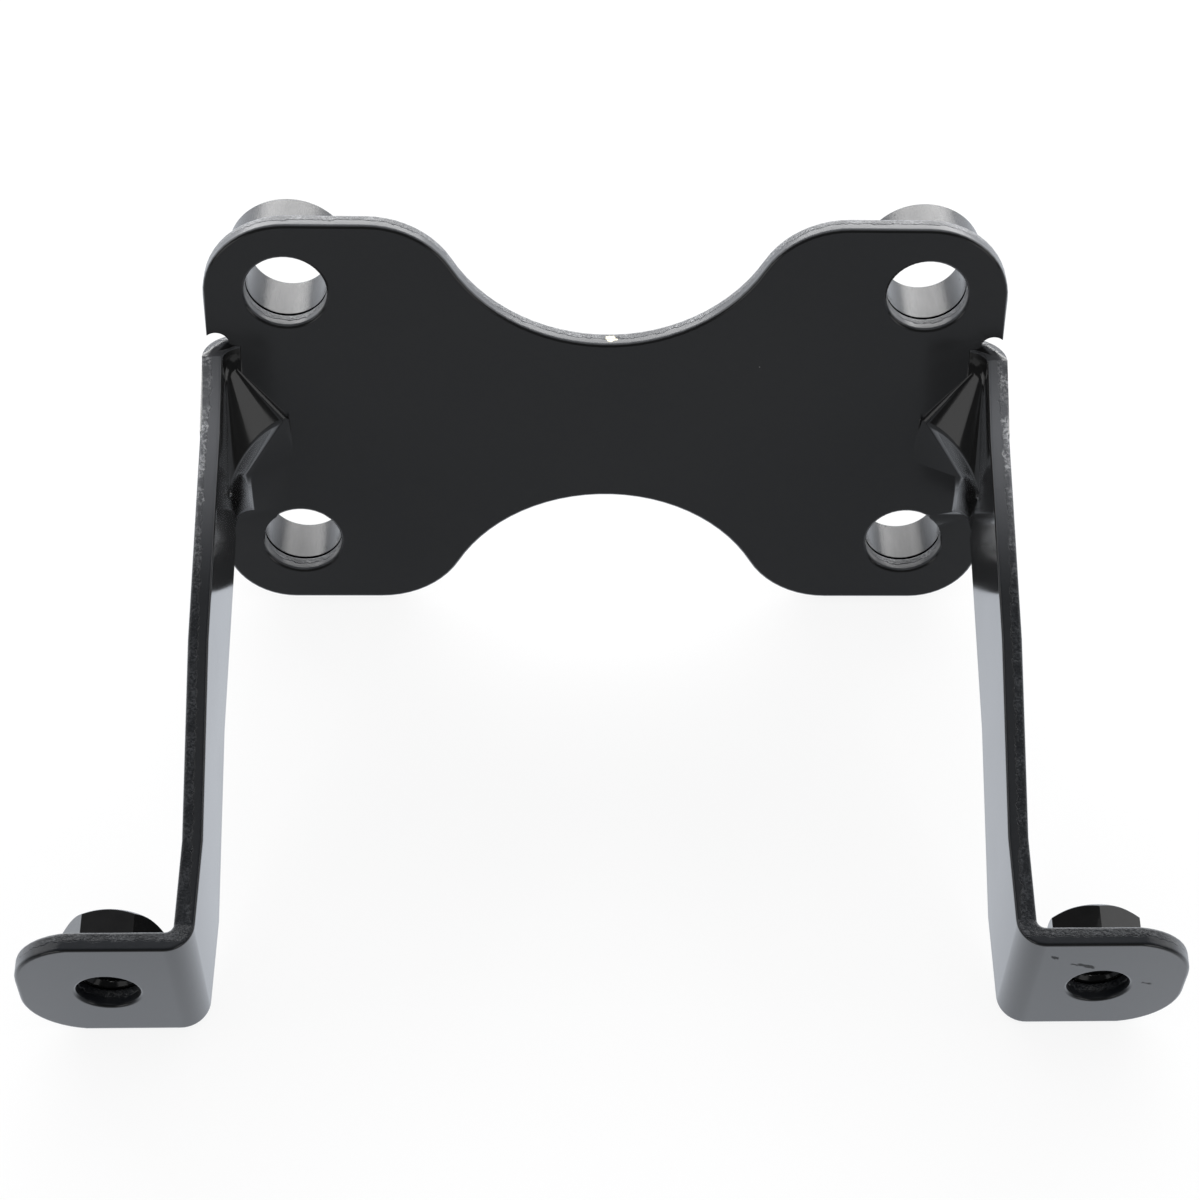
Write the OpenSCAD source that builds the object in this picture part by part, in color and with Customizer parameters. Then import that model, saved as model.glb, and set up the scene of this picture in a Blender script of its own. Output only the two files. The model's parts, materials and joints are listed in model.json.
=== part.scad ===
// Speedometer bracket: one folded steel sheet with a butterfly plate, two arms and two
// feet, four turned spacer collars behind the plate and a hex weld nut behind each foot.
// Millimetres, +Z up. The bracket lies on its two lower collars and the lower edges of its
// feet. The front, with the feet, faces -Y.

/* [Sheet] */
// Thickness of the folded sheet
sheet_t = 3.0; // [2.5:0.1:3.5]
// Inner radius of the fold between the plate and an arm
fold_r = 2.5; // [2:0.1:3.5]
// Inner radius of the fold between an arm and its foot
foot_fold_r = 1.2; // [0.8:0.1:2]

/* [Plate] */
// Height of the plate
plate_h = 70.4; // [68:0.2:74]
// Width of the plate across its four lobes
plate_w = 118; // [116:0.5:119]
// Corner radius of the upper lobes
lobe_r_upper = 12.5; // [11:0.5:14]
// Corner radius of the lower lobes
lobe_r_lower = 10.5; // [9:0.5:13]
// Radius of the wide scallop at the top and at the bottom
scallop_r = 26; // [22:0.5:30]
// Width of the waist that is left between the two scallops
waist_h = 28.8; // [24:0.2:34]
// Radius that leads a scallop into the straight edge
shoulder_r = 14; // [10:0.5:16]
// Side to side spacing of the four holes
hole_span_x = 94; // [88:0.5:96]
// Upper to lower spacing of the four holes
hole_span_y = 47; // [42:0.5:48]
// Diameter of the four holes
hole_d = 12; // [8:0.5:13]

/* [Relief notches] */
// Distance from the middle of the plate up to the upper end of a fold
root_upper = 13.8; // [12.6:0.2:14]
// Distance from the middle of the plate down to the lower end of a fold
root_lower = 17.4; // [16:0.2:18.4]
// Width of the slit between a fold and an upper lobe
slit_w = 0.4; // [0.3:0.1:0.8]
// Width of the notch between a fold and a lower lobe
notch_w = 2.2; // [2:0.1:2.6]
// Corner radius of an upper lobe beside its slit
slit_lobe_r = 1.2; // [0.8:0.1:2]
// Corner radius of a lower lobe beside its notch
notch_lobe_r = 3.5; // [2.5:0.1:4]
// Radius of the round relief that an upper lobe has over its slit
relief_r = 1.9; // [1.6:0.1:2.2]
// Distance from the outer face of an arm's root in to the middle of the relief
relief_in = 1.9; // [1.7:0.1:2.6]

/* [Arms] */
// Distance between the outer faces of the two arms, past the stretch where they spread
arm_span = 120.8; // [120:0.2:124]
// How much nearer to the middle an arm's outer face is at its root
arm_spread = 0.9; // [0.4:0.1:1.5]
// Length over which an arm spreads, measured along the feet's normal
spread_len = 28; // [20:0.5:40]
// Distance from the plate's front face to the front of a foot's upper edge
arm_reach = 72.7; // [66:0.2:80]
// Distance from the middle of the plate down to a foot's upper edge
arm_drop = 37.4; // [34:0.2:40]
// Length of the last stretch, where an arm flares outwards
flare_len = 11; // [8:0.5:14]
// How far the flare moves the foot outwards
flare_out = 0.8; // [0.4:0.1:1.5]

/* [Feet] */
// Angle between the feet and the plate
foot_lean = 15; // [10:0.5:20]
// Width of a foot
foot_w = 25; // [23:0.5:27]
// How far a foot reaches out beyond the outer face of its arm
foot_reach = 23.9; // [22:0.1:26]
// Corner radius of a foot's outer end
foot_end_r = 10; // [7:0.5:11]
// Distance from the outer face of an arm out to the middle of its foot's hole
foot_hole_out = 11.1; // [10.6:0.1:12]
// Distance from a foot's upper edge down to its hole
foot_hole_drop = 13; // [12:0.1:14]
// Diameter of the clearance hole in a foot
foot_hole_d = 9; // [8.4:0.1:9.6]

/* [Pressed darts] */
// Upper end of a dart on its fold, from the middle of the plate
dart_upper = 11.8; // [11:0.1:12.4]
// Lower end of a dart on its fold, from the middle of the plate
dart_lower = 13.2; // [12.6:0.1:15]
// Height of the dart's crease on the plate, above the middle
dart_mid = 0.6; // [0:0.1:2]
// Length of the crease along the plate
dart_leg_plate = 9; // [8:0.1:11]
// Length of the crease out along the arm
dart_leg_arm = 9; // [7:0.1:11]
// How far the crease drops on its way along the arm
dart_slant = 8; // [5:0.1:9]
// How strongly the crease curves in to the fold, from 0 to 1
dart_bow = 0.6; // [0.3:0.05:0.9]
// Height of the dart's blunt nose above the plate
nose_h = 0.6; // [0.4:0.1:1]
// Width of the dart's blunt nose
nose_w = 4; // [3:0.1:5]

/* [Collars] */
// Outer diameter of a collar
collar_d = 18; // [16:0.5:20]
// Length of a collar behind the plate
collar_l = 8.5; // [6:0.1:12]
// Chamfer at the free end of a collar
collar_chamfer = 0.5; // [0.3:0.1:0.9]

/* [Weld nuts] */
// Size across the flats of a nut
nut_af = 13; // [12:0.1:14]
// Height of a nut
nut_h = 7.2; // [6:0.1:8]
// Diameter of a nut's threaded bore
nut_bore_d = 6.8; // [6.4:0.1:7]
// Turn of the left nut about its own axis
nut_turn_left = 0; // [0:1:30]
// Turn of the right nut about its own axis
nut_turn_right = 30; // [0:1:30]

/* [Hidden] */
// fineness of round parts
$fn = 96;
// steps along a dart's crease
dart_n = 12;
// small overlap that keeps joined shapes solid
lap = 0.01;
// how far the rounds of a foot's end stand out of its edges
end_over = 0.15;

// distance from the middle to the inner face of an arm, and the same at its root
arm_in = arm_span / 2 - sheet_t;
root_in = arm_in - arm_spread;
// outer radius of the fold between the plate and an arm
fold_ro = fold_r + sheet_t;
// where the flat of the plate ends and the fold starts
fold_x = root_in - fold_r;
// outer radius of the fold between an arm and its foot
foot_ro = foot_fold_r + sheet_t;
// inner face of an arm after the flare
flare_in = arm_in + flare_out;
// middle of the relief over an upper slit
relief_x = root_in + sheet_t - relief_in;
relief_y = root_upper + slit_w + 0.1;
// where an arm has its root's width, behind the front of its foot
root_n = (arm_drop - root_lower) * sin(foot_lean) + (arm_reach - fold_ro) * cos(foot_lean);
// outer end of a foot, and the middle of its hole
foot_end_x = arm_span / 2 + foot_reach;
foot_hole_x = arm_span / 2 + foot_hole_out;
// length that takes a cut past the whole part
beyond = arm_span + arm_reach;
// middle of a scallop, and of the rounded shoulder beside it
scallop_y = waist_h / 2 + scallop_r;
shoulder_y = plate_h / 2 - shoulder_r;
shoulder_x = sqrt(pow(scallop_r + shoulder_r, 2) - pow(scallop_y - shoulder_y, 2));
// point where the scallop passes into the shoulder
pass_x = shoulder_x * scallop_r / (scallop_r + shoulder_r);
pass_y = scallop_y - (scallop_y - shoulder_y) * scallop_r / (scallop_r + shoulder_r);

// a point of a foot's side view: w along its width, n out of its front face
function foot_pt(w, n) = [
    -arm_drop + w * cos(foot_lean) - n * sin(foot_lean),
    arm_reach + w * sin(foot_lean) + n * cos(foot_lean)
];

// the two lines that touch the table: a foot's lower edge at its fold, and the rim of a
// lower collar
touch_foot = foot_pt(-foot_w, -foot_ro);
touch_collar = [-hole_span_y / 2 - collar_d / 2, -sheet_t - collar_l + collar_chamfer];
// angle that lays both of them on the table
lay = 90 - atan2(touch_collar[0] - touch_foot[0], touch_foot[1] - touch_collar[1]);
// height of the plate's middle above the table
lift = -(touch_foot[0] * sin(lay) + touch_foot[1] * cos(lay));
// shift that brings the middle of the depth to zero
front_y = foot_pt(-foot_w, 0)[0] * cos(lay) - foot_pt(-foot_w, 0)[1] * sin(lay);
rear_y = (hole_span_y / 2 + collar_d / 2 - collar_chamfer) * cos(lay)
    + (sheet_t + collar_l) * sin(lay);
back_shift = -(front_y + rear_y) / 2;

// lays the plate's own frame down on the table
module laid() {
    translate([0, back_shift, lift]) rotate([lay, 0, 0]) children();
}

// the frame of the feet: origin on the front of the upper edge, z out of the front
module at_foot() {
    translate([0, -arm_drop, arm_reach]) rotate([foot_lean, 0, 0]) children();
}

// a drawing of the YZ plane, drawn out along X
module drawn_x(x0, x1) {
    translate([x0, 0, 0]) rotate([90, 0, 90]) linear_extrude(x1 - x0) children();
}

// a drawing of the XZ plane, drawn out along Y
module drawn_y(y0, y1) {
    translate([0, y1, 0]) rotate([90, 0, 0]) linear_extrude(y1 - y0) children();
}

// quarter of a ring in the fourth quarter of the XY plane, or another one by its turn
module quarter_ring(ri, ro, turn) {
    rotate(turn) difference() {
        intersection() {
            circle(r = ro);
            square(ro + 1);
        }
        circle(r = ri);
    }
}

// outline of a lobe, in the upper right quarter, down to its lower edge at a height low,
// with a corner radius rn there
module lobe(r, low, rn) {
    side = plate_w / 2;
    top = plate_h / 2;
    translate([shoulder_x, 0]) square([side - r - shoulder_x, top]);
    translate([side - r, low + rn]) square([r, top - r - low - rn]);
    translate([side - r, top - r]) circle(r = r);
    translate([fold_x - 8, low]) square([side - rn - fold_x + 8, rn + 2]);
    translate([side - rn, low + rn]) circle(r = rn);
}

// outline of the plate, without the folds
module plate_outline() {
    difference() {
        union() {
            polygon([
                [-shoulder_x, -shoulder_y], [-pass_x, -pass_y], [pass_x, -pass_y],
                [shoulder_x, -shoulder_y], [shoulder_x, shoulder_y], [pass_x, pass_y],
                [-pass_x, pass_y], [-shoulder_x, shoulder_y]
            ]);
            for (sx = [-1, 1]) scale([sx, 1]) {
                translate([shoulder_x, shoulder_y]) circle(r = shoulder_r);
                translate([shoulder_x, -shoulder_y]) circle(r = shoulder_r);
                lobe(lobe_r_upper, root_upper + slit_w, slit_lobe_r);
                mirror([0, 1]) lobe(lobe_r_lower, root_lower + notch_w, notch_lobe_r);
                translate([shoulder_x - 1, -root_lower - notch_w - 1])
                    square([fold_x - shoulder_x + 1, root_upper + root_lower + 2 * notch_w + 2]);
            }
        }
        for (sy = [-1, 1]) translate([0, sy * scallop_y]) circle(r = scallop_r);
    }
}

module plate() {
    difference() {
        translate([0, 0, -sheet_t]) linear_extrude(sheet_t) plate_outline();
        for (sx = [-1, 1], sy = [-1, 1])
            translate([sx * hole_span_x / 2, sy * hole_span_y / 2, -sheet_t - 1])
                cylinder(d = hole_d, h = sheet_t + 2);
        for (sx = [-1, 1])
            translate([sx * relief_x, relief_y, -sheet_t - 1])
                cylinder(r = relief_r, h = sheet_t + 2);
    }
}

// fold between the plate and the right arm
module root_fold() {
    translate([fold_x, 0, fold_r]) drawn_y(-root_lower, root_upper)
        quarter_ring(fold_r, fold_ro, -90);
    translate([fold_x - 1, -root_lower, -sheet_t])
        cube([1 + lap, root_upper + root_lower, sheet_t]);
}

// side view of an arm and its foot, from the fold at the plate
module strip_side() {
    polygon([
        [root_upper, fold_r - lap],
        foot_pt(0, -foot_ro),
        foot_pt(0, 1),
        foot_pt(-foot_w, 1),
        foot_pt(-foot_w, -foot_ro),
        [-root_lower, fold_r - lap]
    ]);
}

// profile of an arm and its foot, with the flare above the foot's fold
module strip_profile() {
    polygon([
        [root_in, -beyond],
        [root_in + sheet_t, -beyond],
        [root_in + sheet_t, -root_n],
        [arm_in + sheet_t, -root_n + spread_len],
        [arm_in + sheet_t, -foot_ro - flare_len],
        [flare_in + sheet_t, -foot_ro],
        [flare_in, -foot_ro],
        [arm_in, -foot_ro - flare_len],
        [arm_in, -root_n + spread_len],
        [root_in, -root_n]
    ]);
    translate([flare_in + foot_ro, -foot_ro]) quarter_ring(foot_fold_r, foot_ro, 90);
    translate([flare_in + foot_ro, -sheet_t])
        square([foot_end_x - flare_in - foot_ro, sheet_t]);
}

// front view of all that is left when the foot's outer end is rounded; the rounds stand
// out of the foot's edges by a hair, so that they cut them cleanly
module foot_end() {
    x0 = arm_in - foot_ro;
    xc = foot_end_x - foot_end_r;
    yc = -foot_end_r + end_over;
    translate([x0, -beyond]) square([xc + end_over - x0, 2 * beyond]);
    translate([xc, -foot_w - yc]) square([foot_end_r, foot_w + 2 * yc]);
    for (y = [yc, -foot_w - yc]) translate([xc, y]) circle(r = foot_end_r);
}

module arm_and_foot() {
    difference() {
        intersection() {
            at_foot() drawn_y(-beyond, beyond) strip_profile();
            drawn_x(arm_in - foot_ro, foot_end_x + foot_ro) strip_side();
            at_foot() translate([0, 0, -beyond]) linear_extrude(2 * beyond) foot_end();
        }
        at_foot() translate([foot_hole_x, -foot_hole_drop, -sheet_t - 1])
            cylinder(d = foot_hole_d, h = sheet_t + 2);
    }
}

// A dart is two curved triangles that meet in a crease. The crease runs in a flat round
// from a blunt nose on the plate to the arm. Each triangle is ruled from the crease to one
// end of the dart. k is the corner of the fold at the crease, p and a are the ends of the
// crease, u and l the ends of the dart, h is the height of the nose, and b says how far
// the closed body reaches beyond the two faces.
module dart_body(k, p, a, u, l, h, b) {
    top = p + [h, 0, h];
    ridge = [for (i = [0 : dart_n]) let (t = 90 * i / dart_n)
        (1 - dart_bow) * (top + (a - top) * i / dart_n)
        + dart_bow * (k + (top - k) * (1 - sin(t)) + (a - k) * (1 - cos(t)))];
    n = dart_n;
    q = p - [0, nose_w, 0];
    pts = concat(ridge, [
        u, l, p, q,
        u + [b, 0, -b], l + [b, 0, -b], p + [0, 0, -b], q + [0, 0, -b], a + [b, 0, 0]
    ]);
    iu = n + 1;
    il = n + 2;
    ip = n + 3;
    iq = n + 4;
    ub = n + 5;
    lb = n + 6;
    pb = n + 7;
    qb = n + 8;
    ab = n + 9;
    polyhedron(points = pts, faces = concat(
        [for (i = [0 : n - 1]) [iu, i + 1, i]],
        [for (i = [0 : n - 1]) [il, i, i + 1]],
        [
            [iu, 0, ip], [ip, 0, iq], [0, il, iq],
            [iu, ip, pb], [iu, pb, ub],
            [ip, iq, qb], [ip, qb, pb],
            [iq, il, lb], [iq, lb, qb],
            [iu, ab, n], [iu, ub, ab],
            [il, n, ab], [il, ab, lb],
            [ub, pb, qb], [ub, qb, lb], [ub, lb, ab]
        ]
    ));
}

// the metal that a dart adds inside the fold
module dart_fill() {
    k = [root_in, dart_mid, 0];
    dart_body(
        k,
        k + [-dart_leg_plate, 0, 0],
        k + [0, -dart_slant, dart_leg_arm],
        [root_in, dart_upper, 0],
        [root_in, -dart_lower, 0],
        nose_h,
        1.2
    );
}

// the hollow that the punch leaves outside the fold
module dart_hollow() {
    k = [root_in + sheet_t, dart_mid, -sheet_t];
    dart_body(
        k,
        k + [-dart_leg_plate - sheet_t, 0, 0],
        k + [0, -dart_slant, dart_leg_arm + sheet_t],
        [root_in + sheet_t, dart_upper - 0.4, -sheet_t],
        [root_in + sheet_t, -dart_lower + 0.4, -sheet_t],
        nose_h / 2,
        2
    );
}

module half_bracket() {
    root_fold();
    arm_and_foot();
    dart_fill();
}

module bracket() {
    color([0.03, 0.03, 0.032]) laid() difference() {
        union() {
            plate();
            half_bracket();
            mirror([1, 0, 0]) half_bracket();
        }
        dart_hollow();
        mirror([1, 0, 0]) dart_hollow();
    }
}

// turned collar behind a hole of the plate
module collar(sx, sy) {
    ro = collar_d / 2;
    ri = hole_d / 2;
    c = collar_chamfer;
    color([0.05, 0.05, 0.052]) laid()
        translate([sx * hole_span_x / 2, sy * hole_span_y / 2, -sheet_t])
            rotate_extrude() polygon([
                [ri, 0], [ro, 0], [ro, -collar_l + c], [ro - c, -collar_l],
                [ri + c, -collar_l], [ri, -collar_l + c]
            ]);
}

// hex nut behind a foot, seated on the foot's rear face
module nut(sx, turn) {
    r = nut_af / 2 / cos(30);
    flat_r = nut_af / 2 - 0.3;
    color([0.05, 0.05, 0.052]) laid() at_foot()
        translate([sx * foot_hole_x, -foot_hole_drop, -sheet_t]) mirror([0, 0, 1])
            difference() {
                intersection() {
                    rotate(turn) cylinder(r = r, h = nut_h, $fn = 6);
                    union() {
                        cylinder(r = r + 0.1, h = nut_h - 1.2);
                        translate([0, 0, nut_h - 1.2]) cylinder(r1 = r + 0.1, r2 = flat_r, h = 1.2);
                    }
                }
                translate([0, 0, -1]) cylinder(d = nut_bore_d, h = nut_h + 2);
                translate([0, 0, nut_h - 0.7])
                    cylinder(d1 = nut_bore_d, d2 = nut_bore_d + 1.6, h = 0.8);
            }
}

bracket();
collar(-1, 1);  // collar_upper_left
collar(1, 1);  // collar_upper_right
collar(-1, -1);  // collar_lower_left
collar(1, -1);  // collar_lower_right
nut(-1, nut_turn_left);  // weld_nut_left
nut(1, nut_turn_right);  // weld_nut_right
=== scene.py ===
import json
import math

import bmesh
import bpy
from mathutils import Matrix, Vector


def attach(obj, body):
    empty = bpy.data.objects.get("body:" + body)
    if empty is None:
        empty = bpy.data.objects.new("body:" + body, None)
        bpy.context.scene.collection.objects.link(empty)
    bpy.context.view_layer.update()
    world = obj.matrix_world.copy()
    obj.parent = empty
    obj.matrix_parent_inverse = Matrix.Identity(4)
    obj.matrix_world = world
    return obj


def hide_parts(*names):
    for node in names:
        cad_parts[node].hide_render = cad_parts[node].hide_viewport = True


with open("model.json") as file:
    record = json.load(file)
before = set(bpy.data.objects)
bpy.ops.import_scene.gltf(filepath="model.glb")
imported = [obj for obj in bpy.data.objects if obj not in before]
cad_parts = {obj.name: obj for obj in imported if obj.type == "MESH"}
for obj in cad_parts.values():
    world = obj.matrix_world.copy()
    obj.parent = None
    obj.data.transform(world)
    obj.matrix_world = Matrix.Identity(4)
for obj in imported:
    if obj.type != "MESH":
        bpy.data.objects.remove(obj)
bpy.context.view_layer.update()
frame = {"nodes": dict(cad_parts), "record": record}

MM = 0.001

# The plate's own frame
# Two opposite gauge holes give the middle of the plate, and a hole's axis gives its normal.
# Each hole's place is half its length behind the plate's front face.
mounts = {m["name"]: m for m in frame["record"]["mounts"]}
upper_left = mounts["gauge_hole_upper_left"]
upper_right = mounts["gauge_hole_upper_right"]
lower_left = mounts["gauge_hole_lower_left"]
PLATE_N = -Vector(upper_left["axis"]).normalized()
PLATE_X = Vector((1, 0, 0))
PLATE_Y = PLATE_N.cross(PLATE_X).normalized()
PLATE_O = (Vector(upper_right["pos_m"]) + Vector(lower_left["pos_m"])) / 2
PLATE_O += PLATE_N * upper_left["dims"]["length_mm"] / 2 * MM
HOLE_R = upper_left["dims"]["r_mm"] * MM

# The frame of the feet
# The seat's point lies on the front face, level with the foot's hole.
seat = mounts["foot_seat_right"]
thread = mounts["foot_thread_right"]
FOOT_N = Vector(seat["axis"]).normalized()
FOOT_W = FOOT_N.cross(PLATE_X).normalized()
FOOT_O = Vector(seat["pos_m"])

# Sizes that the finishes and the nuts need, as in the part's source
SHEET_T = 3.0 * MM
FOLD_R = 2.5 * MM
ROOT_UPPER = 13.8 * MM
ROOT_LOWER = 17.4 * MM
ARM_OUT = 60.4 * MM
ARM_SPREAD = 0.9 * MM
SPREAD_LEN = 28.0 * MM
FOOT_FOLD_OUT = 4.2 * MM
FOOT_DROP = 13.0 * MM
FOOT_WIDTH = 25.0 * MM
HOLE_X = upper_right["pos_m"][0]
HOLE_Y = (Vector(upper_right["pos_m"]) - PLATE_O).dot(PLATE_Y)
SEAT_OUT = 7.5 * MM
NUT_AF = 13.0 * MM
NUT_H = 7.2 * MM
NUT_BORE_R = thread["dims"]["r_mm"] * MM
# The turn of each nut about its own axis, in degrees
NUT_TURN = {"left": 0, "right": 30}
# The nut's free end is flat out to this much inside its flats, then falls at this slope.
NUT_END_IN = 0.3 * MM
NUT_SLOPE = 12 / 16.3
# The flat ring round the bore, and the steps of the nut's grid round and along its axis
NUT_RING = 1.2 * MM
NUT_STEPS = 120
NUT_ROWS = 72

# The M8 thread: its pitch, its depth, how far its chamfered mouths reach in, and their slope
THREAD_PITCH = 1.25 * MM
THREAD_DEPTH = 0.6 * MM
THREAD_MOUTH = 0.7 * MM
MOUTH_SLOPE = 1.1

# The rounds that shears, tools and paint leave on the edges. An edge of the sheet or of a
# collar is rounded where its two faces turn by more than SHARP, and an edge of a nut is
# shaded sharp where they turn by more than SHARP_NUT.
SHEET_ROUND = 0.55 * MM
COLLAR_ROUND = 0.15 * MM
NUT_ROUND = 0.12 * MM
SHARP = math.radians(32)
SHARP_NUT = math.radians(30)

# The width of the soft steps between the parts of the sheet in its paint
HAIR = 0.1 * MM

# The places on the sheet where the edges are too short for a round, in the plate's frame:
# from and to, up the plate, for the reliefs, the notches and the outer side of the darts.
RELIEF_UP = (11.5 * MM, 18.5 * MM)
NOTCH_UP = (-24.0 * MM, -13.0 * MM)
DART_UP = (-16.5 * MM, 16.5 * MM)
# How far from the middle these begin, and how far they reach behind and before the plate.
CORNER_SIDE = 51 * MM
DART_SIDE = 47 * MM
BEHIND = -4 * MM
CORNER_BEFORE = 9 * MM
DART_BEFORE = 12 * MM
# The outer side of a dart lies where its place to the side less that before is above this.
DART_OUTER = 50 * MM

# Marks that the photograph shows
# The paint chip on the upper scallop's edge, in the plate's frame, and its radius.
CHIP_AT = (0.7 * MM, 14.5 * MM, -1.5 * MM)
CHIP_R = 0.75 * MM
# The scuffs on the right foot: place across from the hole's axis and up the foot from it,
# half the length and half the width.
SCUFFS = (
    (-2.6 * MM, 6.4 * MM, 1.3 * MM, 0.45 * MM),
    (-4.4 * MM, 6.9 * MM, 0.5 * MM, 0.25 * MM),
    (-7.6 * MM, 9.1 * MM, 0.6 * MM, 0.4 * MM),
    (7.0 * MM, 0.9 * MM, 0.7 * MM, 0.2 * MM),
)

# Colours of the paint and of what is on it or shows through it
BLACK_LOW = (0.0085, 0.0085, 0.0088, 1)
BLACK_HIGH = (0.014, 0.0138, 0.0135, 1)
SHEARED = (0.01, 0.011, 0.013, 1)
# The lighter sheared and torn colours below are painted highlight: near the folds they stand in
# for the light that the rough cut faces mirror.
SHEARED_PAINTED_HIGHLIGHT = (0.13, 0.133, 0.142, 1)
TORN = (0.038, 0.04, 0.044, 1)
TORN_PAINTED_HIGHLIGHT = (0.5, 0.505, 0.52, 1)
DUST = (0.35, 0.35, 0.34, 1)
PRIMER = (0.78, 0.73, 0.56, 1)
SEAM_BLACK = (0.002, 0.002, 0.002, 1)
COLLAR_LOW = (0.014, 0.014, 0.015, 1)
COLLAR_HIGH = (0.04, 0.04, 0.041, 1)
PIT_BLACK = (0.004, 0.004, 0.004, 1)
NUT_LOW = (0.008, 0.008, 0.0085, 1)
NUT_HIGH = (0.016, 0.016, 0.016, 1)

# The studio. The floor is lifted towards its own glow by these shares, as the camera sees
# it and as the gloss paint mirrors it, and the paint mirrors it a little cooler.
FLOOR_HALF = 3.0
FLOOR_COLOUR = (0.86, 0.86, 0.865, 1)
FLOOR_SEEN = 0.88
FLOOR_MIRRORED = 0.9
WHITE = (1, 1, 1, 1)
COOL_WHITE = (0.93, 0.98, 1.06, 1)
STUDIO_COLOUR = (0.9, 0.95, 1.0, 1)
STUDIO_LIGHT = 0.12
# Each softbox: name, place in metres, width, height and the radiance a mirror would show.
SOFTBOXES = (
    ("softbox_back", (0, 1.0, 0.45), 2.0, 0.8, 7),
    ("softbox_left", (-1.0, 0.35, 0.4), 1.2, 0.7, 3.4),
    ("softbox_right", (1.0, 0.35, 0.4), 1.2, 0.7, 3.4),
    ("softbox_front_left", (-0.6, -0.8, 0.25), 0.5, 0.3, 3),
    ("softbox_front_right", (0.6, -0.8, 0.25), 0.5, 0.3, 3),
    ("softbox_top", (0, 0.1, 1.5), 1.4, 1.2, 1.1),
)

# The camera, in the plate's frame: its place, the point of the plate on its axis, and
# its turn about that axis. The photograph is a part of a larger picture, so it is shifted.
CAMERA_PLACE = (-6.74 * MM, 278.08 * MM, 359.69 * MM)
CAMERA_AIM = (19.51 * MM, -26.02 * MM, 0)
CAMERA_ROLL = math.radians(-2.786)
CAMERA_LENS = 89.92
CAMERA_SENSOR = 36
CAMERA_SHIFT = (-0.1073, -0.0389)


def from_plate(x, y, z):
    """A point of the plate's frame, in the row frame."""
    return PLATE_O + PLATE_X * x + PLATE_Y * y + PLATE_N * z


def add_camera():
    """The photograph's own view."""
    place = from_plate(*CAMERA_PLACE)
    ahead = (from_plate(*CAMERA_AIM) - place).normalized()
    level = ahead.cross(PLATE_Y).normalized()
    down = ahead.cross(level)
    right = level * math.cos(CAMERA_ROLL) + down * math.sin(CAMERA_ROLL)
    up = right.cross(ahead)
    camera = bpy.data.objects.new("camera", bpy.data.cameras.new("camera"))
    bpy.context.scene.collection.objects.link(camera)
    turn = Matrix((right, up, -ahead)).transposed().to_4x4()
    camera.matrix_world = Matrix.Translation(place) @ turn
    camera.data.lens = CAMERA_LENS
    camera.data.sensor_width = CAMERA_SENSOR
    camera.data.shift_x = CAMERA_SHIFT[0]
    camera.data.shift_y = CAMERA_SHIFT[1]
    camera.data.clip_start = 0.01
    bpy.context.scene.camera = camera


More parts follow.
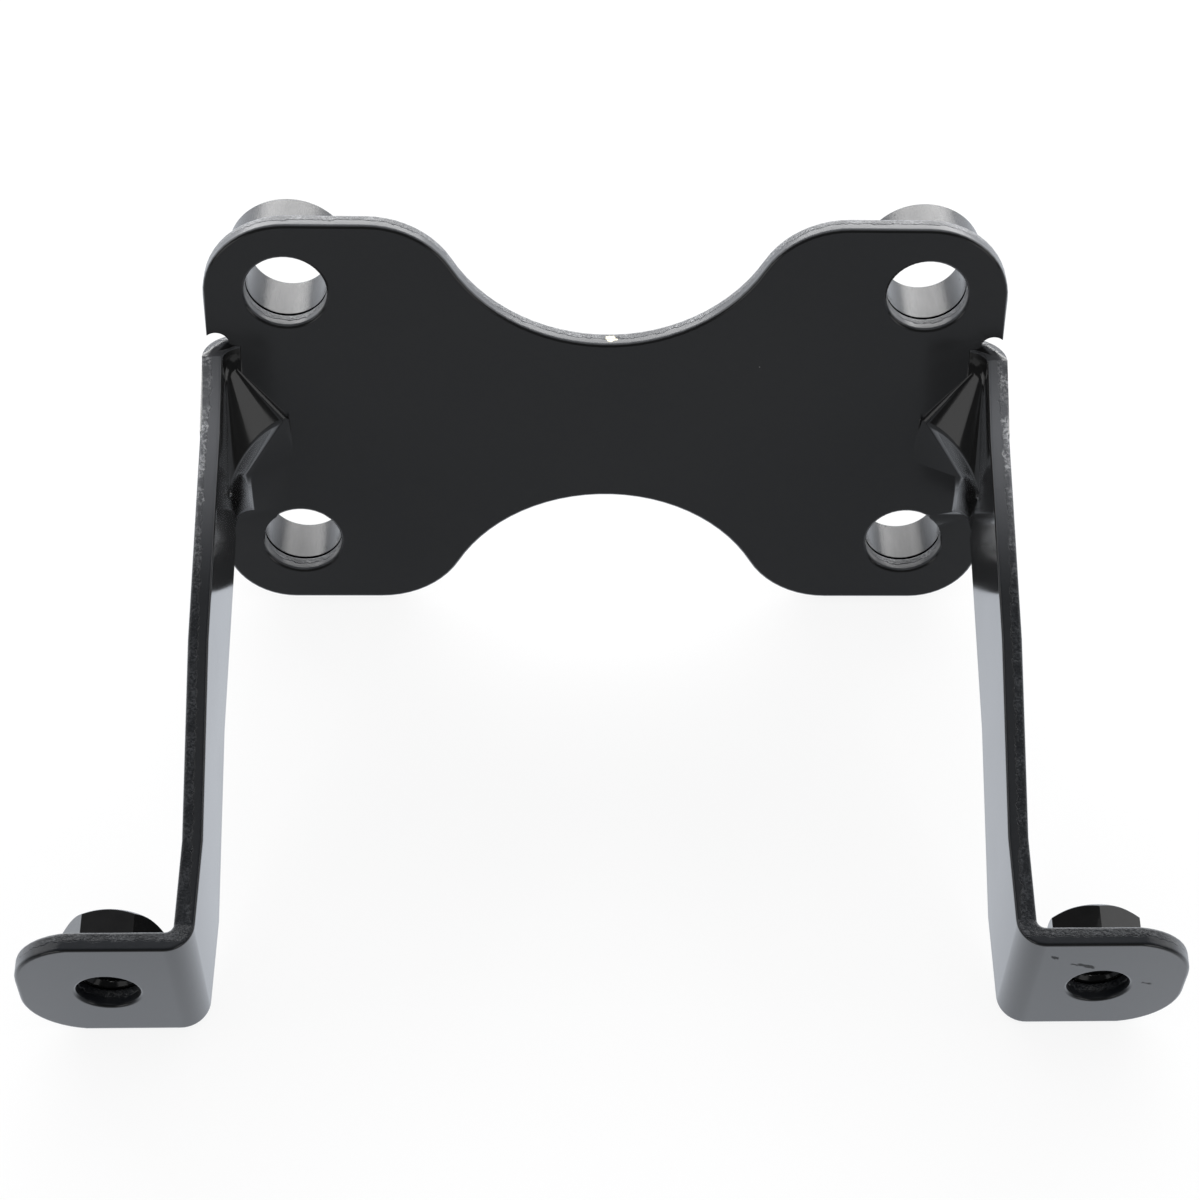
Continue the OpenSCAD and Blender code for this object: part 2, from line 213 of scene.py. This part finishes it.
class Finish:
    """A material, with short ways to write its nodes. An input is a number, a tuple or
    the output of another node."""

    def __init__(self, name):
        self.material = bpy.data.materials.new(name)
        self.material.use_nodes = True
        self.tree = self.material.node_tree
        self.tree.nodes.clear()
        self.place = self.node("ShaderNodeTexCoord").outputs["Object"]
        self.normal = self.node("ShaderNodeNewGeometry").outputs["Normal"]

    def node(self, kind, **settings):
        made = self.tree.nodes.new(kind)
        for key, value in settings.items():
            setattr(made, key, value)
        return made

    def feed(self, socket, value):
        if isinstance(value, bpy.types.NodeSocket):
            self.tree.links.new(value, socket)
        else:
            socket.default_value = value

    def math(self, operation, *values, clamp=False):
        made = self.node("ShaderNodeMath", operation=operation, use_clamp=clamp)
        for socket, value in zip(made.inputs, values):
            self.feed(socket, value)
        return made.outputs[0]

    def vector(self, operation, *values, out=0):
        made = self.node("ShaderNodeVectorMath", operation=operation)
        for socket, value in zip(made.inputs, values):
            self.feed(socket, value)
        return made.outputs[out]

    def along(self, direction, origin=None):
        """How far the shaded point lies along a direction from an origin."""
        place = self.place
        if origin is not None:
            place = self.vector("SUBTRACT", place, tuple(origin))
        return self.vector("DOT_PRODUCT", place, tuple(direction), out="Value")

    def facing(self, direction):
        """How far the surface faces along a direction or against it, from 0 to 1."""
        dot = self.vector("DOT_PRODUCT", self.normal, tuple(direction), out="Value")
        return self.math("ABSOLUTE", dot)

    def step(self, value, low, high):
        """0 below low, 1 above high and smooth between them; falls if low is the larger."""
        made = self.node("ShaderNodeMapRange", interpolation_type="SMOOTHSTEP")
        self.feed(made.inputs["Value"], value)
        falls = low > high
        made.inputs["From Min"].default_value = min(low, high)
        made.inputs["From Max"].default_value = max(low, high)
        made.inputs["To Min"].default_value = 1.0 if falls else 0.0
        made.inputs["To Max"].default_value = 0.0 if falls else 1.0
        return made.outputs["Result"]

    def span(self, value, low, high, soft):
        """1 between low and high, 0 outside, with soft ends."""
        rise = self.step(value, low - soft, low + soft)
        fall = self.step(value, high + soft, high - soft)
        return self.math("MULTIPLY", rise, fall)

    def blend(self, share, first, second):
        """first where share is 0 and second where it is 1, as numbers."""
        made = self.node("ShaderNodeMix", data_type="FLOAT")
        self.feed(made.inputs[0], share)
        self.feed(made.inputs[2], first)
        self.feed(made.inputs[3], second)
        return made.outputs[0]

    def tint(self, share, first, second):
        """The same for colours."""
        made = self.node("ShaderNodeMix", data_type="RGBA")
        self.feed(made.inputs[0], share)
        self.feed(made.inputs[6], first)
        self.feed(made.inputs[7], second)
        return made.outputs[2]

    def noise(self, size, place=None, detail=2.0, rough=0.5):
        """Noise with features about as large as size, in metres."""
        made = self.node("ShaderNodeTexNoise")
        self.feed(made.inputs["Vector"], place or self.place)
        made.inputs["Scale"].default_value = 1 / size
        made.inputs["Detail"].default_value = detail
        made.inputs["Roughness"].default_value = rough
        return made.outputs["Fac"]

    def specks(self, spacing, radius):
        """Round specks of about that radius, in nearly half of the cells of that spacing."""
        made = self.node("ShaderNodeTexVoronoi")
        self.feed(made.inputs["Vector"], self.place)
        made.inputs["Scale"].default_value = 1 / spacing
        near = self.step(made.outputs["Distance"], radius / spacing, 0.4 * radius / spacing)
        chance = self.node("ShaderNodeSeparateColor")
        self.feed(chance.inputs[0], made.outputs["Color"])
        return self.math("MULTIPLY", near, self.step(chance.outputs[0], 0.55, 0.6))

    def bump(self, height, depth, under=None):
        """The surface's normal with a relief whose full height is depth, in metres."""
        made = self.node("ShaderNodeBump")
        made.inputs["Strength"].default_value = 1.0
        made.inputs["Distance"].default_value = depth
        self.feed(made.inputs["Height"], height)
        if under is not None:
            self.feed(made.inputs["Normal"], under)
        return made.outputs["Normal"]

    def sheen(self, low, high):
        """The paint's specular level: low where it is seen straight on, high at a graze."""
        facing = self.node("ShaderNodeLayerWeight")
        facing.inputs["Blend"].default_value = 0.5
        made = self.node("ShaderNodeMapRange", interpolation_type="SMOOTHSTEP")
        self.feed(made.inputs["Value"], facing.outputs["Facing"])
        made.inputs["From Min"].default_value = 0.3
        made.inputs["From Max"].default_value = 0.9
        made.inputs["To Min"].default_value = low
        made.inputs["To Max"].default_value = high
        return made.outputs["Result"]

    def paint(self, colour, rough, normal, specular):
        """Ends the material in one shader."""
        shader = self.node("ShaderNodeBsdfPrincipled")
        self.feed(shader.inputs["Base Color"], colour)
        self.feed(shader.inputs["Roughness"], rough)
        self.feed(shader.inputs["Specular IOR Level"], specular)
        self.feed(shader.inputs["Normal"], normal)
        output = self.node("ShaderNodeOutputMaterial")
        self.feed(output.inputs["Surface"], shader.outputs[0])
        return self.material


def arm_edges():
    """For the near and the far cut edge of an arm: a point on it and its normal."""
    edges = []
    near = (ROOT_UPPER, FOOT_DROP, 1)
    far = (-ROOT_LOWER, FOOT_DROP - FOOT_WIDTH, -1)
    for root, drop, sign in (near, far):
        start = from_plate(0, root, FOLD_R)
        end = FOOT_O + FOOT_W * drop - FOOT_N * FOOT_FOLD_OUT
        run = (end - start).normalized()
        run.x = 0
        edges.append((start, PLATE_X.cross(run).normalized() * sign))
    return edges


def plate_cut(f, side, out):
    """1 on the cut faces of the plate and of the roots of its folds."""
    up = f.along(PLATE_Y, PLATE_O)
    fold_in = ARM_OUT - ARM_SPREAD - SHEET_T - FOLD_R
    on_fold = f.span(up, -ROOT_LOWER, ROOT_UPPER, HAIR)
    at_root = f.math("MULTIPLY", on_fold, f.step(side, fold_in, fold_in + HAIR))
    off_face = f.step(f.facing(PLATE_N), 0.8, 0.5)
    flat_cut = f.math("MULTIPLY", off_face, f.step(out, 3 * HAIR, HAIR))
    inside = f.span(up, -ROOT_LOWER + 4 * HAIR, ROOT_UPPER - 4 * HAIR, HAIR / 2)
    root_cut = f.math("SUBTRACT", f.step(f.facing(PLATE_Y), 0.5, 0.8), inside, clamp=True)
    return f.blend(at_root, flat_cut, root_cut)


def arm_cut(f, depth):
    """1 on the near and the far cut face of an arm."""
    cut = 0.0
    for point, normal in arm_edges():
        near = f.step(f.along(normal, point), -8 * HAIR, -4 * HAIR)
        near = f.math("MULTIPLY", near, f.step(f.facing(normal), 0.6, 0.8))
        cut = f.math("MAXIMUM", cut, near)
    return f.math("MULTIPLY", cut, f.step(depth, -4 * HAIR, -2 * HAIR))


def foot_cut(f, side):
    """1 on the cut faces of a foot and of the bend that joins it to its arm."""
    flat_cut = f.step(f.facing(FOOT_N), 0.8, 0.5)
    bend_cut = f.step(f.facing(FOOT_W), 0.5, 0.8)
    bend_out = ARM_OUT + FOOT_FOLD_OUT - SHEET_T
    return f.blend(f.step(side, bend_out, bend_out + 2 * HAIR), bend_cut, flat_cut)


def cut_face(f):
    """1 on the sheet's cut faces and 0 on its rolled ones, and the depth from the front or
    inner face of the sheet, in metres."""
    side = f.math("ABSOLUTE", f.along(PLATE_X))
    out = f.along(PLATE_N, PLATE_O)
    foot_out = f.along(FOOT_N, FOOT_O)
    spread = f.math("MULTIPLY", f.step(out, SPREAD_LEN, 0), ARM_SPREAD)
    arm_in = f.math("SUBTRACT", ARM_OUT - SHEET_T, spread)
    arm_depth = f.math("SUBTRACT", side, arm_in)
    plate_depth = f.math("MULTIPLY", out, -1.0)
    foot_depth = f.math("MULTIPLY", foot_out, -1.0)
    in_plate = f.step(out, FOLD_R + HAIR, FOLD_R - HAIR)
    in_foot = f.step(foot_out, -FOOT_FOLD_OUT - HAIR, -FOOT_FOLD_OUT + HAIR)
    cut = f.blend(in_plate, arm_cut(f, arm_depth), plate_cut(f, side, out))
    cut = f.blend(in_foot, cut, foot_cut(f, side))
    depth = f.blend(in_plate, arm_depth, plate_depth)
    depth = f.blend(in_foot, depth, foot_depth)
    return cut, depth


def at_hole(f):
    """1 within reach of a gauge hole's wall."""
    side = f.math("SUBTRACT", f.math("ABSOLUTE", f.along(PLATE_X)), HOLE_X)
    up = f.math("SUBTRACT", f.math("ABSOLUTE", f.along(PLATE_Y, PLATE_O)), HOLE_Y)
    square = f.math("ADD", f.math("MULTIPLY", side, side), f.math("MULTIPLY", up, up))
    return f.step(f.math("SQRT", square), HOLE_R + 1.2 * MM, HOLE_R + 0.8 * MM)


def seam(f):
    """1 on the dark line where a collar meets the plate, inside the hole."""
    out = f.along(PLATE_N, PLATE_O)
    waver = f.math("MULTIPLY", f.noise(1.5 * MM), 0.12 * MM)
    line = f.span(f.math("ADD", out, waver), -SHEET_T - 0.1 * MM, -SHEET_T + 0.1 * MM, 0.07 * MM)
    return f.math("MULTIPLY", line, at_hole(f))


def scuffs(f):
    """1 on the few short dull scuffs round the right foot's hole."""
    along = f.along(PLATE_X, FOOT_O - PLATE_X * SEAT_OUT)
    up = f.along(FOOT_W, FOOT_O)
    bend = f.math("MULTIPLY", f.math("SUBTRACT", f.noise(0.8 * MM, detail=4.0), 0.5), 1.2 * MM)
    total = 0.0
    for x, w, length, width in SCUFFS:
        past = f.math("SUBTRACT", along, x)
        across = f.math("ADD", f.math("SUBTRACT", up, w), f.math("MULTIPLY", past, 0.4))
        within = f.span(f.math("ADD", past, bend), -length, length, 0.1 * MM)
        narrow = f.span(f.math("ADD", across, bend), -width, width, 0.08 * MM)
        total = f.math("MAXIMUM", total, f.math("MULTIPLY", within, narrow))
    return f.math("MULTIPLY", total, f.step(f.facing(FOOT_N), 0.7, 0.9))


def paint_chip(f, tear):
    """1 on the ragged chip in the paint of the upper scallop's edge."""
    far = f.vector("SUBTRACT", f.place, tuple(from_plate(*CHIP_AT)))
    far = f.vector("LENGTH", far, out="Value")
    ragged = f.math("MULTIPLY", f.math("SUBTRACT", tear, 0.5), 2.2 * MM)
    return f.step(f.math("ADD", far, ragged), CHIP_R + 0.08 * MM, CHIP_R - 0.08 * MM)


def shear_grain(f, cut, depth, grit, tear):
    """1 on the torn part of a cut face, and the normal of the sheet's surface: a faint
    orange peel everywhere, and the grain of the shears on the cut faces."""
    border = f.math("ADD", f.math("MULTIPLY", tear, 1.6 * MM), 0.7 * MM)
    past = f.math("SUBTRACT", depth, border)
    torn = f.step(past, -0.06 * MM, 0.06 * MM)
    groove = f.span(past, -0.05 * MM, 0.05 * MM, 0.05 * MM)
    relief = f.blend(torn, f.math("MULTIPLY", tear, 0.4), f.math("MULTIPLY", grit, 1.2))
    relief = f.math("SUBTRACT", relief, f.math("MULTIPLY", groove, 0.7))
    peel = f.bump(f.noise(1.6 * MM, detail=1.0), 0.003 * MM)
    return torn, f.bump(f.math("MULTIPLY", relief, cut), 0.14 * MM, peel)


def thin_paint_and_painted_highlight(f, torn, grit):
    """The colour of a cut face: bare in spots where it is torn, and lighter by the folds, where
    the lighter colour is painted highlight.
    """
    patch = f.noise(3.5 * MM, detail=3.0)
    bare = f.math("MULTIPLY", f.step(grit, 0.4, 0.65), f.step(patch, 0.35, 0.6))
    bare = f.math("MULTIPLY", bare, torn)
    # Painted highlight: near the folds the cut faces get lighter colours in place of the light
    # they mirror there.
    painted_highlight_zone = f.span(f.along(PLATE_N, PLATE_O), 2 * MM, 20 * MM, 12 * MM)
    sheared = f.tint(painted_highlight_zone, SHEARED, SHEARED_PAINTED_HIGHLIGHT)
    ragged = f.tint(painted_highlight_zone, TORN, TORN_PAINTED_HIGHLIGHT)
    return f.tint(bare, sheared, ragged)


def sheet_paint():
    """Gloss black paint on folded sheet: dust and smudges on the rolled faces, and the torn
    grain of the shears on the cut ones, where the paint is thin, with a painted highlight on
    the cut faces near the folds."""
    f = Finish("black_paint")
    cut, depth = cut_face(f)
    grit = f.noise(0.45 * MM, detail=3.0, rough=0.7)
    tear = f.noise(1.5 * MM, detail=4.0, rough=0.6)
    torn, normal = shear_grain(f, cut, depth, grit, tear)
    smudge = f.noise(28 * MM, detail=3.0)
    dust = f.math("MULTIPLY", f.specks(6 * MM, 0.11 * MM), f.step(cut, 0.5, 0.1))
    chip = paint_chip(f, tear)
    line = seam(f)
    dark = f.tint(smudge, BLACK_LOW, BLACK_HIGH)
    colour = f.tint(cut, dark, thin_paint_and_painted_highlight(f, torn, grit))
    colour = f.tint(f.math("MULTIPLY", dust, 0.5), colour, DUST)
    colour = f.tint(chip, colour, PRIMER)
    colour = f.tint(line, colour, SEAM_BLACK)
    rough = f.blend(cut, f.blend(f.step(smudge, 0.35, 0.75), 0.09, 0.17), 0.3)
    rough = f.math("ADD", rough, f.math("MULTIPLY", f.math("MAXIMUM", dust, chip), 0.4))
    dull = f.math("MAXIMUM", f.math("MULTIPLY", scuffs(f), 0.9), chip)
    kept = f.math("SUBTRACT", 1.0, f.math("MAXIMUM", line, dull))
    level = f.math("MULTIPLY", f.sheen(0.2, 2.8), kept)
    level = f.math("MULTIPLY", level, f.blend(cut, 1.0, 0.75))
    return f.paint(colour, rough, normal, level)


def turned_paint():
    """Gloss black paint on a turned collar, with the fine grooves of the tool and a few
    pits in the paint."""
    f = Finish("collar_paint")
    out = f.along(PLATE_N, PLATE_O)
    waver = f.noise(6 * MM)
    run = f.math("ADD", out, f.math("MULTIPLY", waver, 0.1 * MM))
    groove = f.math("SINE", f.math("MULTIPLY", run, 2 * math.pi / (0.32 * MM)))
    flow = f.node("ShaderNodeVectorMath", operation="SCALE")
    f.feed(flow.inputs[0], tuple(PLATE_N))
    f.feed(flow.inputs["Scale"], f.math("MULTIPLY", out, -0.85))
    drawn = f.vector("ADD", f.place, flow.outputs[0])
    streak = f.noise(0.9 * MM, place=drawn, detail=2.0)
    pits = f.specks(2.4 * MM, 0.17 * MM)
    relief = f.math("ADD", f.math("MULTIPLY", groove, 0.35), f.math("MULTIPLY", streak, 1.5))
    relief = f.math("SUBTRACT", relief, f.math("MULTIPLY", pits, 3.0))
    line = seam(f)
    colour = f.tint(streak, COLLAR_LOW, COLLAR_HIGH)
    colour = f.tint(pits, colour, PIT_BLACK)
    colour = f.tint(line, colour, SEAM_BLACK)
    rough = f.blend(f.noise(2 * MM, detail=3.0), 0.16, 0.3)
    kept = f.math("SUBTRACT", 1.0, f.math("MAXIMUM", line, pits))
    level = f.math("MULTIPLY", f.sheen(0.22, 1.5), kept)
    return f.paint(colour, rough, f.bump(relief, 0.008 * MM), level)


def nut_paint():
    """Gloss black paint that has run smooth over a hex nut."""
    f = Finish("nut_paint")
    cloud = f.noise(4 * MM, detail=3.0)
    peel = f.noise(1.1 * MM, detail=1.0)
    grit = f.noise(0.3 * MM, detail=2.0)
    relief = f.math("ADD", peel, f.math("MULTIPLY", grit, 0.12))
    colour = f.tint(cloud, NUT_LOW, NUT_HIGH)
    rough = f.blend(cloud, 0.08, 0.16)
    return f.paint(colour, rough, f.bump(relief, 0.02 * MM), f.sheen(0.1, 2.2))


def in_tight_corner(place):
    """True round the reliefs and notches of the folds and on the outer side of the darts,
    where the edges are too short."""
    side = abs(place.x)
    up = (place - PLATE_O).dot(PLATE_Y)
    out = (place - PLATE_O).dot(PLATE_N)
    at_relief = RELIEF_UP[0] < up < RELIEF_UP[1]
    at_notch = NOTCH_UP[0] < up < NOTCH_UP[1]
    at_end = side > CORNER_SIDE and BEHIND < out < CORNER_BEFORE and (at_relief or at_notch)
    outer = side > DART_SIDE and BEHIND < out < DART_BEFORE and side - out > DART_OUTER
    return at_end or (outer and DART_UP[0] < up < DART_UP[1])


def edge_key(mesh, ends):
    """The places of an edge's two ends, alike for all edges that lie on one another."""
    return frozenset(tuple(round(c / MM, 3) for c in mesh.vertices[i].co) for i in ends)


def weigh_edges(mesh):
    """Gives each sharp edge a bevel weight of 1, and the tight corners' edges none."""
    faces_at = {}
    for face in mesh.polygons:
        for ends in face.edge_keys:
            faces_at.setdefault(edge_key(mesh, ends), []).append(face.normal)
    weights = mesh.attributes.new("bevel_weight_edge", "FLOAT", "EDGE")
    for edge in mesh.edges:
        first, last = (mesh.vertices[i].co for i in edge.vertices)
        normals = faces_at[edge_key(mesh, edge.vertices)]
        sharp = len(normals) == 2 and normals[0].angle(normals[1]) > SHARP
        rounded = sharp and not in_tight_corner((first + last) / 2)
        weights.data[edge.index].value = float(rounded)


def soften(obj, width, segments=3):
    """Rounds the node's sharp edges a little, as shears and paint leave them."""
    weigh_edges(obj.data)
    weld = obj.modifiers.new("weld", "WELD")
    weld.merge_threshold = 1e-6
    planes = obj.modifiers.new("planes", "DECIMATE")
    planes.decimate_type = "DISSOLVE"
    planes.angle_limit = math.radians(0.3)
    bevel = obj.modifiers.new("bevel", "BEVEL")
    bevel.width = width
    bevel.segments = segments
    bevel.limit_method = "WEIGHT"
    bevel.use_clamp_overlap = False
    smooth = obj.modifiers.new("normals", "WEIGHTED_NORMAL")
    smooth.mode = "FACE_AREA"
    smooth.weight = 100
    smooth.keep_sharp = False


def dress(obj, material):
    """Gives the object one material."""
    obj.data.materials.clear()
    obj.data.materials.append(material)


def hex_radius(angle, turn):
    """Distance from the nut's axis to its side at an angle."""
    part = (angle - turn) % (math.pi / 3) - math.pi / 6
    return NUT_AF / 2 / math.cos(part)


def thread_radius(angle, height):
    """Radius of the threaded bore: the modelled bore at the crests, deeper at the roots."""
    phase = (height / THREAD_PITCH - angle / (2 * math.pi)) % 1
    groove = max(0, min(1, 2.6 * (0.5 - abs(phase - 0.5)) - 0.15))
    mouth = max(0, THREAD_MOUTH - height, height - (NUT_H - THREAD_MOUTH))
    return NUT_BORE_R + max(THREAD_DEPTH * groove, mouth * MOUTH_SLOPE)


def nut_profile(angle, turn):
    """A section of the nut at an angle, as pairs of radius and height: up the bore, over the
    free end, down the side and back across the seat."""
    edge = NUT_ROUND
    side_r = hex_radius(angle, turn)
    end_r = NUT_AF / 2 - NUT_END_IN
    ring_r = NUT_BORE_R + NUT_RING
    top_z = NUT_H - max(0, side_r - end_r) * NUT_SLOPE
    heights = [NUT_H * j / NUT_ROWS for j in range(NUT_ROWS + 1)]
    profile = [(thread_radius(angle, z), z) for z in heights]
    profile.append((ring_r, NUT_H))
    profile.append((end_r - edge, NUT_H))
    profile.append((end_r, NUT_H - edge * 0.3))
    profile.append((side_r - edge * 0.5, top_z + edge * 0.3))
    profile.append((side_r, top_z - edge * 0.5))
    profile.append((side_r, edge))
    profile.append((side_r - edge, 0))
    profile.append((ring_r, 0))
    return profile


def nut_mesh(name, turn):
    """The nut as one closed grid, with its seat at the origin and its free end along Z."""
    mesh = bmesh.new()
    loops = []
    for i in range(NUT_STEPS):
        angle = 2 * math.pi * i / NUT_STEPS
        c, s = math.cos(angle), math.sin(angle)
        profile = nut_profile(angle, turn)
        loops.append([mesh.verts.new((r * c, r * s, z)) for r, z in profile])
    for i in range(NUT_STEPS):
        this, following = loops[i], loops[(i + 1) % NUT_STEPS]
        for j in range(len(this)):
            k = (j + 1) % len(this)
            mesh.faces.new((this[j], following[j], following[k], this[k]))
    bmesh.ops.recalc_face_normals(mesh, faces=mesh.faces)
    data = bpy.data.meshes.new(name)
    mesh.to_mesh(data)
    mesh.free()
    return data


def threaded_nut(side, material):
    """The weld nut with its chamfered corners and real M8 thread, in place of the plain
    solid, with its seat on the back of the foot."""
    data = nut_mesh("weld_nut_" + side + "_threaded", math.radians(NUT_TURN[side]))
    nut = bpy.data.objects.new(data.name, data)
    bpy.context.scene.collection.objects.link(nut)
    mount = mounts["foot_thread_" + side]
    axis = Vector(mount["axis"]).normalized()
    across = (-axis).cross(PLATE_X)
    place = Vector(mount["pos_m"])
    place += FOOT_N * (-(place - FOOT_O).dot(FOOT_N) - SHEET_T)
    turn_in = Matrix((PLATE_X, across, -axis)).transposed().to_4x4()
    data.transform(Matrix.Translation(place) @ turn_in)
    for polygon in data.polygons:
        polygon.use_smooth = True
    data.set_sharp_from_angle(angle=SHARP_NUT)
    dress(nut, material)
    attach(nut, "root")
    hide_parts("weld_nut_" + side)


def add_floor():
    """A plain pale floor. What the camera and the paint see of it is lifted towards white,
    and the object's shadow stays on it."""
    half = FLOOR_HALF
    data = bpy.data.meshes.new("floor")
    corners = [(-half, -half, 0), (half, -half, 0), (half, half, 0), (-half, half, 0)]
    data.from_pydata(corners, [], [(0, 1, 2, 3)])
    floor = bpy.data.objects.new("floor", data)
    bpy.context.scene.collection.objects.link(floor)
    f = Finish("floor")
    diffuse = f.node("ShaderNodeBsdfDiffuse")
    diffuse.inputs["Color"].default_value = FLOOR_COLOUR
    glow = f.node("ShaderNodeEmission")
    rays = f.node("ShaderNodeLightPath")
    f.feed(glow.inputs["Color"], f.tint(rays.outputs["Is Glossy Ray"], WHITE, COOL_WHITE))
    seen = f.math("MULTIPLY", rays.outputs["Is Camera Ray"], FLOOR_SEEN)
    mirrored = f.math("MULTIPLY", rays.outputs["Is Glossy Ray"], FLOOR_MIRRORED)
    lift = f.math("ADD", seen, mirrored)
    mixed = f.node("ShaderNodeMixShader")
    f.feed(mixed.inputs[0], lift)
    f.feed(mixed.inputs[1], diffuse.outputs[0])
    f.feed(mixed.inputs[2], glow.outputs[0])
    output = f.node("ShaderNodeOutputMaterial")
    f.feed(output.inputs["Surface"], mixed.outputs[0])
    dress(floor, f.material)


def add_softbox(name, place, width, height, radiance):
    """A rectangular soft light that faces the origin."""
    data = bpy.data.lights.new(name, "AREA")
    data.shape = "RECTANGLE"
    data.size = width
    data.size_y = height
    data.energy = radiance * math.pi * width * height
    light = bpy.data.objects.new(name, data)
    bpy.context.scene.collection.objects.link(light)
    light.location = place
    light.rotation_mode = "QUATERNION"
    light.rotation_quaternion = (-Vector(place)).to_track_quat("-Z", "Y")
    light.visible_camera = False


def add_world():
    """A white background for the camera and a dim studio for everything else."""
    world = bpy.data.worlds.new("studio")
    bpy.context.scene.world = world
    world.use_nodes = True
    tree = world.node_tree
    tree.nodes.clear()
    rays = tree.nodes.new("ShaderNodeLightPath")
    dim = tree.nodes.new("ShaderNodeBackground")
    dim.inputs["Color"].default_value = STUDIO_COLOUR
    dim.inputs["Strength"].default_value = STUDIO_LIGHT
    white = tree.nodes.new("ShaderNodeBackground")
    white.inputs["Color"].default_value = WHITE
    white.inputs["Strength"].default_value = 1.0
    mixed = tree.nodes.new("ShaderNodeMixShader")
    tree.links.new(rays.outputs["Is Camera Ray"], mixed.inputs[0])
    tree.links.new(dim.outputs[0], mixed.inputs[1])
    tree.links.new(white.outputs[0], mixed.inputs[2])
    output = tree.nodes.new("ShaderNodeOutputWorld")
    tree.links.new(mixed.outputs[0], output.inputs["Surface"])


add_camera()
add_world()
add_floor()
for softbox in SOFTBOXES:
    add_softbox(*softbox)

bracket = frame["nodes"]["bracket"]
dress(bracket, sheet_paint())
soften(bracket, SHEET_ROUND)
collar_finish = turned_paint()
for name, node in frame["nodes"].items():
    if name.startswith("collar"):
        dress(node, collar_finish)
        soften(node, COLLAR_ROUND, 2)
nut_finish = nut_paint()
for side in ("left", "right"):
    threaded_nut(side, nut_finish)

bpy.context.scene.view_settings.view_transform = "Standard"
